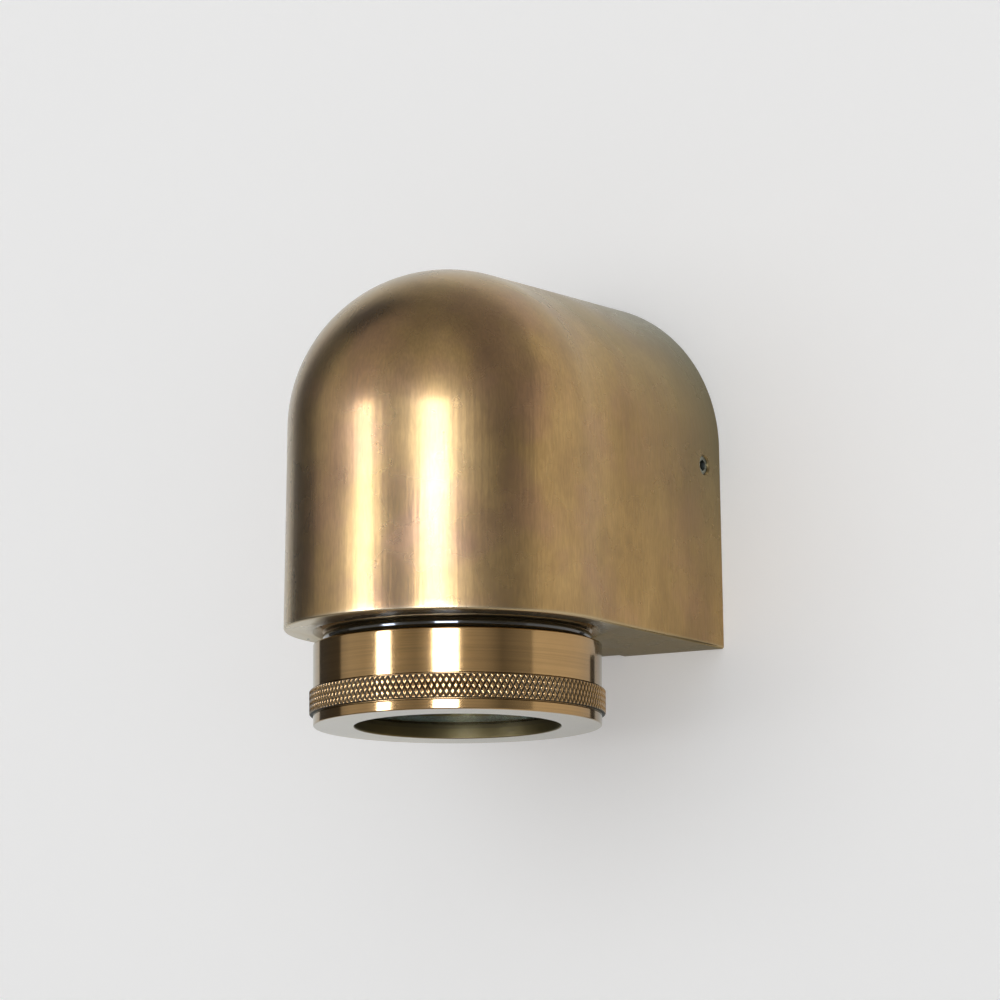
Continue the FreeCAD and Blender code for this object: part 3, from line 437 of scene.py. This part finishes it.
def bump(tree, shader, height, strength, distance):
    node = add(tree, "ShaderNodeBump")
    node.inputs["Strength"].default_value = strength
    node.inputs["Distance"].default_value = distance
    tree.links.new(height, node.inputs["Height"])
    tree.links.new(node.outputs["Normal"], shader.inputs["Normal"])


def object_place(tree):
    return add(tree, "ShaderNodeTexCoord").outputs["Object"]


def ramp_along(tree, value, low, high, stops):
    """A ramp over a length in metres: stops are (place, colour) from low to high."""
    spread = add(tree, "ShaderNodeMapRange")
    spread.inputs["From Min"].default_value = low
    spread.inputs["From Max"].default_value = high
    tree.links.new(value, spread.inputs["Value"])
    shares = [((place - low) / (high - low), colour) for place, colour in stops]
    return ramp(tree, spread.outputs["Result"], shares)


def axis_parts(tree, place):
    node = add(tree, "ShaderNodeSeparateXYZ")
    tree.links.new(place, node.inputs["Vector"])
    return node.outputs


def multiply(tree, first, second):
    return mix_colour(tree, 1.0, first, second, "MULTIPLY")


def hood_brass():
    """Aged brass under lacquer: soft clouding, fine upright grain, darker toward the wall (partly patina,
    partly painted shade), a painted highlight on the lower edge and painted shade in the underside's
    reflection near the wall.
    """
    mat, tree, shader = material("hood_brass")
    place = object_place(tree)
    shader.inputs["Metallic"].default_value = 1.0
    cloud = noise(tree, place, 46.0, 5.0, 0.60, (1, 1, 0.75))
    tone = ramp(tree, cloud, [(0.36, (0.375, 0.214, 0.066)), (0.50, (0.47, 0.278, 0.084)),
                              (0.64, (0.56, 0.344, 0.114))])
    blush = ramp(tree, noise(tree, place, 70.0, 3.0, 0.5), [(0.45, grey(0.0)), (0.68, grey(0.5))])
    tone = mix_colour(tree, blush, tone, (0.44, 0.225, 0.115))
    grain = noise(tree, place, 2400.0, 2.0, 0.5, (1, 1, 0.16))
    tone = multiply(tree, tone, ramp(tree, grain, [(0.34, grey(0.85)), (0.66, grey(1.0))]))
    streak = noise(tree, place, 170.0, 3.0, 0.6, (1, 1, 0.03))
    tone = multiply(tree, tone, ramp(tree, streak, [(0.3, grey(0.90)), (0.7, grey(1.0))]))
    depth = axis_parts(tree, place)["Y"]
    # darker olive toward the wall and higher up: partly patina, partly painted shade for the shadowed wall
    # this part reflects
    patina_and_shade = ramp_along(tree, depth, hood_low.y, 0.0, [
        (hood_low.y, grey(0.0)), (-55 * MM, grey(0.0)), (-20 * MM, grey(0.55)), (0.0, grey(0.98))])
    height = axis_parts(tree, place)["Z"]
    upper = ramp_along(tree, height, FLOOR, hood_high.z, [
        (FLOOR + 10 * MM, grey(0.25)), (FLOOR + 45 * MM, grey(1.0))])
    patina_and_shade = multiply(tree, patina_and_shade, upper)
    tone = mix_colour(tree, patina_and_shade, tone, (0.165, 0.125, 0.055))
    # painted highlight: a lighter band on the rounding of the hood's lower edge
    edge_highlight = ramp_along(tree, height, FLOOR, hood_high.z, [
        (FLOOR + 0.04 * MM, grey(0.0)), (FLOOR + 0.12 * MM, grey(1.0)), (FLOOR + 0.35 * MM, grey(1.0)),
        (FLOOR + 0.65 * MM, grey(0.0))])
    tone = mix_colour(tree, edge_highlight, tone, (0.72, 0.56, 0.33))
    foot = ramp_along(tree, height, FLOOR, hood_high.z, [
        (FLOOR + 0.1 * MM, grey(1.0)), (FLOOR + 1.0 * MM, grey(0.0))])
    tone = mix_colour(tree, foot, tone, (0.42, 0.30, 0.14))
    turn_start, turn_end = -70 * MM, -45 * MM        # the gloss falls off between these depths
    # painted shade: toward the wall the underside gets a dark specular tint and almost no lacquer, so it
    # reflects darker, for the shadowed wall under the hood
    underside_shade = ramp_along(tree, depth, hood_low.y, 0.0, [(turn_start, grey(0.0)), (turn_end, grey(1.0))])
    underside_shade = multiply(tree, underside_shade, foot)
    tree.links.new(tone, shader.inputs["Base Color"])
    rough = ramp(tree, noise(tree, place, 60.0, 4.0, 0.55), [(0.38, grey(0.25)), (0.62, grey(0.31))])
    tree.links.new(rough, shader.inputs["Roughness"])
    hair = noise(tree, place, 900.0, 2.0, 0.5, (1, 1, 0.02))
    bump(tree, shader, hair, 0.14, 0.0002)
    tint = mix_colour(tree, underside_shade, (0.86, 0.90, 0.84), (0.40, 0.42, 0.41))
    tree.links.new(tint, shader.inputs["Specular Tint"])
    lacquer = ramp_along(tree, depth, hood_low.y, 0.0, [(turn_start, grey(1.0)), (turn_end, grey(0.30))])
    lacquer = mix_colour(tree, foot, lacquer, grey(1.0))
    lacquer = mix_colour(tree, underside_shade, lacquer, grey(0.05))
    shader.inputs["Coat IOR"].default_value = 1.5
    tree.links.new(lacquer, shader.inputs["Coat Weight"])
    shader.inputs["Coat Roughness"].default_value = 0.36
    return mat


def bezel_brass():
    """Turned brass with fine lines round the ring; painted shade darkens the knurl's valleys, the two grooves
    and the bore, which are also duller.
    """
    mat, tree, shader = material("bezel_brass")
    place = object_place(tree)
    shader.inputs["Metallic"].default_value = 1.0
    cloud = noise(tree, place, 34.0, 5.0, 0.55)
    tone = ramp(tree, cloud, [(0.32, (0.40, 0.232, 0.084)), (0.68, (0.50, 0.305, 0.120))])
    lines = noise(tree, place, 2600.0, 2.0, 0.5, (0.01, 0.01, 1))
    tone = multiply(tree, tone, ramp(tree, lines, [(0.3, grey(0.84)), (0.65, grey(1.0))]))
    shift = add(tree, "ShaderNodeVectorMath", operation="SUBTRACT")
    shift.inputs[1].default_value = (0, LAMP_Y, 0)
    tree.links.new(place, shift.inputs[0])
    flat = add(tree, "ShaderNodeVectorMath", operation="MULTIPLY")
    flat.inputs[1].default_value = (1, 1, 0)
    tree.links.new(shift.outputs["Vector"], flat.inputs[0])
    length = add(tree, "ShaderNodeVectorMath", operation="LENGTH")
    tree.links.new(flat.outputs["Vector"], length.inputs[0])
    radius = length.outputs["Value"]
    height = axis_parts(tree, place)["Z"]
    unshaded, shaded = grey(0.0), grey(1.0)
    groove = 0.33 * MM
    step = 0.05 * MM
    band = ramp_along(tree, height, BEZEL_BOTTOM, BEZEL_TOP, [
        (GRIP_BOTTOM - groove, unshaded), (GRIP_BOTTOM - groove + step, shaded),
        (GRIP_TOP + groove - step, shaded), (GRIP_TOP + groove, unshaded)])
    valley = ramp_along(tree, radius, BARREL - 0.8 * MM, GRIP, [
        (NECK, grey(0.4)), (BARREL - 0.1 * MM, grey(0.4)), (BARREL, shaded),
        (BARREL + 0.58 * MM, shaded), (BARREL + 0.76 * MM, unshaded)])
    # painted shade: near black down in the knurl and the two grooves
    valley_shade = multiply(tree, band, valley)
    # painted shade: dark olive on the bore's wall at the opening
    inside = ramp_along(tree, radius, OPENING - 1 * MM, OPENING + 1 * MM, [
        (OPENING + 0.08 * MM, grey(0.9)), (OPENING + 0.28 * MM, unshaded)])
    tone = mix_colour(tree, inside, tone, (0.085, 0.072, 0.030))
    tone = mix_colour(tree, valley_shade, tone, (0.050, 0.040, 0.026))
    tree.links.new(tone, shader.inputs["Base Color"])
    rough = ramp(tree, noise(tree, place, 60.0, 4.0, 0.6), [(0.3, grey(0.09)), (0.7, grey(0.14))])
    dull_and_shaded = mix_colour(tree, 1.0, inside, valley_shade, "ADD")
    rough = mix_colour(tree, dull_and_shaded, rough, grey(0.5))
    tree.links.new(rough, shader.inputs["Roughness"])
    bump(tree, shader, lines, 0.04, 0.0001)
    tree.links.new(mix_colour(tree, dull_and_shaded, grey(0.45), grey(0.0)), shader.inputs["Coat Weight"])
    shader.inputs["Coat Roughness"].default_value = 0.08
    shader.inputs["Specular Tint"].default_value = (0.74, 0.82, 0.84, 1.0)
    return mat


def rubber(name, colour, roughness, wet=0.0):
    """Moulded rubber with a fine dull skin, or a greased one where wet is more than 0."""
    mat, tree, shader = material(name)
    place = object_place(tree)
    grain = noise(tree, place, 700.0, 4.0, 0.6)
    shade = tuple(c * 1.5 for c in colour)
    tree.links.new(ramp(tree, grain, [(0.35, colour), (0.75, shade)]), shader.inputs["Base Color"])
    rough = ramp(tree, noise(tree, place, 90.0), [(0.3, grey(roughness)), (0.7, grey(roughness + 0.12))])
    tree.links.new(rough, shader.inputs["Roughness"])
    bump(tree, shader, grain, 0.06, 0.0001)
    shader.inputs["Coat Weight"].default_value = wet
    shader.inputs["Coat IOR"].default_value = 1.7
    return mat


def foam(name, colour):
    """Closed-cell foam: small dark pits."""
    mat, tree, shader = material(name)
    place = object_place(tree)
    cells = add(tree, "ShaderNodeTexVoronoi")
    cells.inputs["Scale"].default_value = 1400.0
    tree.links.new(place, cells.inputs["Vector"])
    darker = tuple(c * 0.5 for c in colour)
    tree.links.new(ramp(tree, cells.outputs["Distance"], [(0.1, darker), (0.6, colour)]),
                   shader.inputs["Base Color"])
    shader.inputs["Roughness"].default_value = 0.9
    bump(tree, shader, cells.outputs["Distance"], 0.35, 0.0003)
    return mat


def metal(name, colour, roughness, scale=300.0, stretch=(1, 1, 1)):
    """Plated or bare metal with light handling marks."""
    mat, tree, shader = material(name)
    place = object_place(tree)
    shader.inputs["Metallic"].default_value = 1.0
    marks = noise(tree, place, scale, 5.0, 0.6, stretch)
    darker = tuple(c * 0.78 for c in colour)
    tree.links.new(ramp(tree, marks, [(0.35, darker), (0.7, colour)]), shader.inputs["Base Color"])
    rough = ramp(tree, noise(tree, place, 90.0), [(0.3, grey(roughness)), (0.7, grey(roughness + 0.12))])
    tree.links.new(rough, shader.inputs["Roughness"])
    bump(tree, shader, marks, 0.05, 0.0001)
    return mat


def moulded(name, colour, roughness):
    """Fine-grained moulded plastic or fired ceramic."""
    mat, tree, shader = material(name)
    place = object_place(tree)
    grain = noise(tree, place, 420.0, 6.0, 0.65)
    darker = tuple(c * 0.9 for c in colour)
    tree.links.new(ramp(tree, grain, [(0.35, darker), (0.7, colour)]), shader.inputs["Base Color"])
    rough = ramp(tree, noise(tree, place, 70.0), [(0.3, grey(roughness)), (0.7, grey(roughness + 0.1))])
    tree.links.new(rough, shader.inputs["Roughness"])
    bump(tree, shader, grain, 0.08, 0.0001)
    return mat


def glass(name, colour, roughness, ior):
    """Sheet glass with a faint film of dust. A low ior stands for an anti-glare coating."""
    mat, tree, shader = material(name)
    place = object_place(tree)
    shader.inputs["Base Color"].default_value = (*colour, 1.0)
    shader.inputs["Transmission Weight"].default_value = 1.0
    shader.inputs["IOR"].default_value = ior
    film = noise(tree, place, 120.0, 5.0, 0.6)
    tree.links.new(ramp(tree, film, [(0.4, grey(roughness)), (0.8, grey(roughness + 0.05))]),
                   shader.inputs["Roughness"])
    return mat


MATERIALS = {
    "hood_brass": hood_brass(),
    "bezel_brass": bezel_brass(),
    "collar_brass": metal("collar_brass", (0.55, 0.40, 0.20), 0.25, 500.0, (0.05, 0.05, 1)),
    "contact_brass": metal("contact_brass", (0.75, 0.56, 0.26), 0.2),
    "zinc_steel": metal("zinc_steel", (0.58, 0.59, 0.60), 0.28, 120.0),
    "dark_steel": metal("dark_steel", (0.26, 0.27, 0.22), 0.30),
    "black_rubber": rubber("black_rubber", (0.022, 0.018, 0.010), 0.05, 0.6),
    "grey_foam": foam("grey_foam", (0.05, 0.05, 0.052)),
    "silicone": rubber("silicone", (0.5, 0.5, 0.47), 0.4),
    "clear_glass": glass("clear_glass", (0.60, 0.73, 0.69), 0.0, 1.12),
    "lamp_shell": metal("lamp_shell", (0.75, 0.75, 0.76), 0.3),
    "lamp_front": glass("lamp_front", (0.64, 0.70, 0.70), 0.25, 1.2),
    "ceramic": moulded("ceramic", (0.74, 0.69, 0.60), 0.65),
    "block_nylon": moulded("block_nylon", (0.78, 0.76, 0.68), 0.4),
    "brown_sleeve": rubber("brown_sleeve", (0.12, 0.045, 0.02), 0.4),
    "blue_sleeve": rubber("blue_sleeve", (0.015, 0.06, 0.22), 0.4),
    "green_sleeve": rubber("green_sleeve", (0.08, 0.22, 0.02), 0.4),
}


def dress(thing, slot_name):
    thing.data.materials.clear()
    thing.data.materials.append(MATERIALS[slot_name])


# ---------------------------------------------------------------------------------- pieces
dress(make_hood(), "hood_brass")
dress(make_bezel(), "bezel_brass")
dress(make_o_ring(), "black_rubber")
for entry in frame["record"]["subparts"]:
    dress(frame["nodes"][entry["node"]], entry["material_slot"])


# ----------------------------------------------------------------------------------- stage
def one_sided(name, colour, roughness, lit=0.0):
    """A matt surface that is seen only from its front, so that it hides nothing from behind or below."""
    mat, tree, shader = material(name)
    shader.inputs["Base Color"].default_value = (*colour, 1.0)
    shader.inputs["Roughness"].default_value = roughness
    shader.inputs["Specular IOR Level"].default_value = 0.0
    shader.inputs["Emission Color"].default_value = (*colour, 1.0)
    shader.inputs["Emission Strength"].default_value = lit
    geometry = add(tree, "ShaderNodeNewGeometry")
    clear = add(tree, "ShaderNodeBsdfTransparent")
    choose = add(tree, "ShaderNodeMixShader")
    tree.links.new(geometry.outputs["Backfacing"], choose.inputs["Fac"])
    tree.links.new(shader.outputs["BSDF"], choose.inputs[1])
    tree.links.new(clear.outputs["BSDF"], choose.inputs[2])
    tree.links.new(choose.outputs["Shader"], tree.nodes["Material Output"].inputs["Surface"])
    return mat


def sheet(name, corners, mat):
    mesh = bpy.data.meshes.new(name)
    mesh.from_pydata(corners, [], [(0, 1, 2, 3)])
    thing = bpy.data.objects.new(name, mesh)
    scene.collection.objects.link(thing)
    mesh.materials.append(mat)
    return thing


STAGE_HALF = 2.2
STAGE_TOP, STAGE_FLOOR = 0.6, -0.75
STAGE_FRONT = -3.0
WALL_Y = 0.0001                                      # just behind the part's back
WALL_TONE, WALL_DIM = 0.80, 0.30
WALL_FADE = 0.13, 0.21                               # the wall darkens between these heights


def upright(first, second, low, high):
    """Corners of an upright sheet that stands on the line between two (x, y) points."""
    return [(*first, low), (*second, low), (*second, high), (*first, high)]


def wall_paint():
    """Matt paint that glows a little, and darkens upward."""
    mat = one_sided("stage_wall", grey(WALL_TONE), 0.9, 0.32)
    tree = mat.node_tree
    rise = axis_parts(tree, object_place(tree))["Z"]
    fade = ramp_along(tree, rise, 0.0, 0.3, [
        (WALL_FADE[0], grey(WALL_TONE)), (WALL_FADE[1], grey(WALL_DIM))])
    for socket in ("Base Color", "Emission Color"):
        tree.links.new(fade, tree.nodes["Principled BSDF"].inputs[socket])
    return mat


sheet("back_wall", upright((-STAGE_HALF, WALL_Y), (STAGE_HALF, WALL_Y), STAGE_FLOOR, STAGE_TOP), wall_paint())
sheet("floor", [(-STAGE_HALF, STAGE_FRONT, STAGE_FLOOR), (STAGE_HALF, STAGE_FRONT, STAGE_FLOOR),
                (STAGE_HALF, WALL_Y, STAGE_FLOOR), (-STAGE_HALF, WALL_Y, STAGE_FLOOR)],
      one_sided("stage_floor", grey(0.78), 0.9))


def flag(name, corners):
    """A dark card seen only in reflections."""
    card = sheet(name, corners, moulded("stage_" + name, grey(0.12), 0.9))
    for ray in ("camera", "diffuse", "shadow", "transmission"):
        setattr(card, "visible_" + ray, False)


WINDOW_AWAY = 2.0                                    # from the axis of the hood's round front
WINDOW_TINT = (0.90, 1.0, 1.28)                      # bluish, because the brass turns it yellow
WINDOWS = (("left", -30.6, 11.5), ("right", 21.0, 19.5))                 # side, azimuth, width in degrees
BANDS = (("window", -55.0, 8.8, 17.0), ("edge", 8.8, 12.0, 0.8),         # name, from and to in degrees
         ("halo", 12.0, 18.0, 0.3))                                      # of elevation, strength


def window(name, azimuth, width, low, high, strength):
    """A soft upright light seen in reflections: azimuth 0 is straight in front, positive to the right."""
    light = bpy.data.lights.new(name, "AREA")
    light.shape = "RECTANGLE"
    across = 2 * WINDOW_AWAY * math.tan(math.radians(width / 2))
    bottom = WINDOW_AWAY * math.tan(math.radians(low))
    top = WINDOW_AWAY * math.tan(math.radians(high))
    light.size, light.size_y = across, top - bottom
    light.energy = strength * across * (top - bottom) * math.pi
    light.color = WINDOW_TINT
    thing = bpy.data.objects.new(name, light)
    scene.collection.objects.link(thing)
    turn = math.radians(azimuth)
    out = Vector((math.sin(turn), -math.cos(turn), 0))
    thing.location = Vector((0, AXIS_Y, 0)) + out * WINDOW_AWAY + Vector((0, 0, (top + bottom) / 2))
    thing.rotation_mode = "QUATERNION"
    thing.rotation_quaternion = out.to_track_quat("Z", "Y")
    thing.visible_camera = False
    thing.visible_diffuse = False


def glow(name, azimuth, elevation, spread, strength):
    """Broad soft light that is not seen in reflections."""
    light = bpy.data.lights.new(name, "SUN")
    light.angle = math.radians(spread)
    light.energy = strength
    thing = bpy.data.objects.new(name, light)
    scene.collection.objects.link(thing)
    turn, lift = math.radians(azimuth), math.radians(elevation)
    out = Vector((math.sin(turn) * math.cos(lift), -math.cos(turn) * math.cos(lift), math.sin(lift)))
    thing.rotation_mode = "QUATERNION"
    thing.rotation_quaternion = out.to_track_quat("Z", "Y")
    thing.visible_glossy = False


def room():
    """Studio surroundings: brightest about the two windows, darker overhead.

    Each stop is an azimuth in degrees and a brightness. They are fitted to the reflections on the
    photograph's hood, so they suit this object in this view.
    """
    world = bpy.data.worlds.new("room")
    scene.world = world
    world.use_nodes = True
    tree = world.node_tree
    direction = axis_parts(tree, add(tree, "ShaderNodeTexCoord").outputs["Generated"])
    toward = add(tree, "ShaderNodeMath", operation="MULTIPLY")
    toward.inputs[1].default_value = -1.0
    tree.links.new(direction["Y"], toward.inputs[0])
    angle = add(tree, "ShaderNodeMath", operation="ARCTAN2")
    tree.links.new(direction["X"], angle.inputs[0])
    tree.links.new(toward.outputs["Value"], angle.inputs[1])
    stops = [(-120, 0.13), (-92, 0.16), (-76, 0.42), (-65, 0.58), (-48, 0.55), (-31, 0.70), (-17, 0.45),
             (-3, 0.33), (10, 0.60), (20, 0.80), (36, 0.56), (50, 0.45), (66, 0.18), (76, 0.26), (88, 0.36)]
    around = ramp_along(tree, angle.outputs["Value"], -math.pi, math.pi,
                        [(math.radians(azimuth), grey(value)) for azimuth, value in stops])
    overhead = ramp(tree, direction["Z"], [(0.37, grey(0.0)), (0.64, grey(0.25)), (0.87, grey(0.6)),
                                           (0.99, grey(1.0))])
    shade = mix_colour(tree, overhead, around, grey(0.22))
    tree.links.new(shade, tree.nodes["Background"].inputs["Color"])


CARD_X = -178 * MM
flag("card_left", upright((CARD_X, -125 * MM), (CARD_X, -10 * MM), -0.5, 0.5))
# painted shade: a dark card just in front of the wall, right of the hood and below its floor, seen only in
# reflections, for the shadowed wall there
CARD_Y = -0.5 * MM
near, far = HALF + 1.5 * MM, HALF + 12 * MM
flag("wall_shade_card", upright((near, CARD_Y), (far, CARD_Y), FLOOR - 50 * MM, FLOOR))
for side, azimuth, width in WINDOWS:
    for band, low, high, strength in BANDS:
        window(band + "_" + side, azimuth, width, low, high, strength)
glow("glow_main", -15.0, 5.0, 50.0, 0.50)
glow("glow_fill", 10.0, -5.0, 100.0, 0.365)
glow("glow_low", 48.0, -22.0, 70.0, 0.32)
room()

# ---------------------------------------------------------------------------------- camera
# fitted to the outline in the photograph, for a camera about 2.5 m away
AIM = Vector((6.42, -48.0, -10.72)) * MM             # on the camera's axis, inside the hood
AZIMUTH, ELEVATION, ROLL = 29.97, -8.10, 0.21
DISTANCE = 2.4905
FOCAL_LENGTH, SENSOR_WIDTH = 403.8, 36.0             # millimetres
camera_data = bpy.data.cameras.new("camera")
camera_data.lens = FOCAL_LENGTH
camera_data.sensor_width = SENSOR_WIDTH
camera = bpy.data.objects.new("camera", camera_data)
scene.collection.objects.link(camera)
turn, lift = math.radians(AZIMUTH), math.radians(ELEVATION)
back = Vector((math.sin(turn) * math.cos(lift), -math.cos(turn) * math.cos(lift), math.sin(lift)))
camera.location = AIM + back * DISTANCE
camera.rotation_mode = "QUATERNION"
camera.rotation_quaternion = (-back).to_track_quat("-Z", "Y") @ Matrix.Rotation(
    math.radians(-ROLL), 4, "Z").to_quaternion()
camera_data.clip_start, camera_data.clip_end = 0.05, 50.0
scene.camera = camera
scene.view_settings.view_transform = "Standard"
